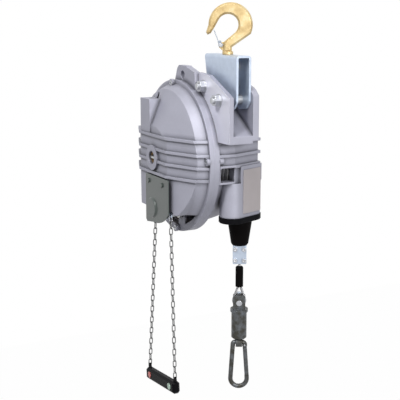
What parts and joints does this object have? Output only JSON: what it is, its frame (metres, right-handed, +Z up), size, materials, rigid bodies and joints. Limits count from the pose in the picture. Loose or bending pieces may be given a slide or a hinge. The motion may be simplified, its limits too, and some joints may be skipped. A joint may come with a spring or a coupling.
{
  "type": "tool balancer",
  "caption": "Wire rope tool balancer with swivel hook, cast spring-drum housing, rubber stop, swivelling snap hook, and a chain-pulled handle that locks the drum.",
  "frame": {"origin": "centre of the suspension hook's bowl", "axes": "+Z up, +Y along the drum axis from the spring side to the rope side, +X from the drum to the rope"},
  "size_m": [0.3353, 0.1836, 0.7679],
  "materials": {
    "cast_alloy": "satin, cast",
    "zinc_steel": "bright zinc plated",
    "zinc_fasteners": "bright zinc plated",
    "gold_chromate": "yellow chromated",
    "machined_steel": "machined",
    "dark_steel": "oiled, dark",
    "spring_steel": "blued",
    "bronze": "satin",
    "drum_alloy": "machined",
    "guard_paint": "grey green, satin",
    "blank_plate": "satin",
    "black_plastic": "matt",
    "black_rubber": "matt",
    "handle_black": "satin",
    "red_mark": "gloss",
    "green_mark": "gloss",
    "wire_rope": "stranded"
  },
  "bodies": {
    "housing": {"spring_side_housing": "cast_alloy", "drum_side_housing": "cast_alloy", "closing_screws": "zinc_fasteners", "suspension_bracket": "zinc_steel", "bracket_bolts": "zinc_fasteners", "bracket_nuts": "zinc_fasteners", "bracket_washers": "zinc_fasteners", "bracket_spacers": "machined_steel", "arbor_bushes": "bronze", "worm_lock_screw": "dark_steel", "outlet_plate": "black_plastic", "rope_guide": "black_plastic", "rubber_buffer": "black_rubber", "name_plate": "blank_plate", "lock_guard_plate": "guard_paint", "guard_screws": "guard_paint"},
    "hook": {"swivel_hook": "gold_chromate", "hook_washer": "zinc_fasteners", "hook_nut": "zinc_fasteners", "latch_pin": "zinc_fasteners"},
    "latch": {"hook_latch": "zinc_steel"},
    "arbor": {"arbor": "machined_steel", "spring_core": "machined_steel", "worm_wheel": "bronze"},
    "worm": {"worm": "dark_steel"},
    "drum": {"drum": "drum_alloy", "drum_bushes": "bronze", "spring_cassette": "gold_chromate", "cassette_cover": "gold_chromate", "cassette_screws": "zinc_fasteners", "lock_ring": "machined_steel", "rope_winding": "wire_rope", "power_spring": "spring_steel"},
    "lock": {"lock_lever": "zinc_steel", "lock_shaft": "zinc_fasteners", "lock_pawl": "machined_steel"},
    "left_chain": {"left_chain": "zinc_fasteners"},
    "right_chain": {"right_chain": "zinc_fasteners"},
    "handle": {"pull_handle": "handle_black", "lock_mark": "red_mark", "release_mark": "green_mark"},
    "load": {"rope": "wire_rope", "rope_tail": "wire_rope", "rope_loop": "wire_rope", "rope_clamp_front": "zinc_steel", "rope_clamp_back": "zinc_steel", "clamp_screws": "zinc_fasteners", "cable_sheath": "black_rubber", "thimble": "zinc_steel", "swivel_eye": "zinc_steel", "eye_pin": "zinc_fasteners"},
    "swivel": {"swivel_body": "zinc_steel"},
    "snap": {"snap_hook": "zinc_steel", "gate_pin": "zinc_fasteners"},
    "gate": {"snap_gate": "zinc_steel"}
  },
  "joints": [
    {"name": "hook_swivel", "type": "hinge", "parent": "housing", "child": "hook", "pos_m": [0, 0, -0.05], "axis": [0, 0, 1], "continuous": true},
    {"name": "latch_pivot", "type": "hinge", "parent": "hook", "child": "latch", "pos_m": [-0.0063, -0.01137, -0.0365], "axis": [0.8746, -0.4848, 0], "range_deg": [-35, 0], "stiffness_Nm_per_rad": 0.05, "springref_deg": 20.05},
    {"name": "drum_turn", "type": "hinge", "parent": "housing", "child": "drum", "pos_m": [-0.115, 0.011, -0.255], "axis": [0, 1, 0], "range_deg": [0, 990], "stiffness_Nm_per_rad": 0.5, "springref_deg": -687.55},
    {"name": "load_travel", "type": "slide", "parent": "housing", "child": "load", "axis": [0, 0, -1], "range_m": [0, 1.98707], "deforming": ["rope"]},
    {"name": "swivel_turn", "type": "hinge", "parent": "load", "child": "swivel", "pos_m": [0, 0.0285, -0.595], "axis": [0, 0, 1], "continuous": true},
    {"name": "snap_swing", "type": "hinge", "parent": "swivel", "child": "snap", "pos_m": [0, 0.0285, -0.616], "axis": [0.4848, 0.8746, 0], "range_deg": [-60, 60]},
    {"name": "gate_pivot", "type": "hinge", "parent": "snap", "child": "gate", "pos_m": [0.00558, 0.03856, -0.6215], "axis": [0.8746, -0.4848, 0], "range_deg": [-18, 0], "stiffness_Nm_per_rad": 0.05, "springref_deg": 20.05},
    {"name": "arbor_set", "type": "hinge", "parent": "housing", "child": "arbor", "pos_m": [-0.115, -0.023, -0.255], "axis": [0, 1, 0], "range_deg": [-360, 360]},
    {"name": "worm_turn", "type": "hinge", "parent": "housing", "child": "worm", "pos_m": [-0.1496, -0.081, -0.255], "axis": [0, 0, 1], "range_deg": [-8640, 8640]},
    {"name": "lock_tilt", "type": "hinge", "parent": "housing", "child": "lock", "pos_m": [-0.0885, -0.083, -0.3665], "axis": [0, 1, 0], "range_deg": [0, 24.54]},
    {"name": "left_chain_pull", "type": "slide", "parent": "housing", "child": "left_chain", "axis": [0, 0, 1], "range_m": [-0.0001, 0.0152]},
    {"name": "right_chain_pull", "type": "slide", "parent": "housing", "child": "right_chain", "axis": [0, 0, 1], "range_m": [-0.0152, 0.0001]},
    {"name": "handle_tilt", "type": "hinge", "parent": "left_chain", "child": "handle", "pos_m": [-0.159, -0.093, -0.69931], "axis": [0, 1, 0], "range_deg": [-0.1, 14.3]}
  ],
  "couplings": [
    {"joint": "load_travel", "follows": "drum_turn", "m_per_rad": 0.115},
    {"joint": "worm_turn", "follows": "arbor_set", "ratio": -24},
    {"joint": "left_chain_pull", "follows": "lock_tilt", "m_per_rad": 0.03502},
    {"joint": "right_chain_pull", "follows": "lock_tilt", "m_per_rad": -0.03502},
    {"joint": "handle_tilt", "follows": "lock_tilt", "ratio": 0.577}
  ]
}
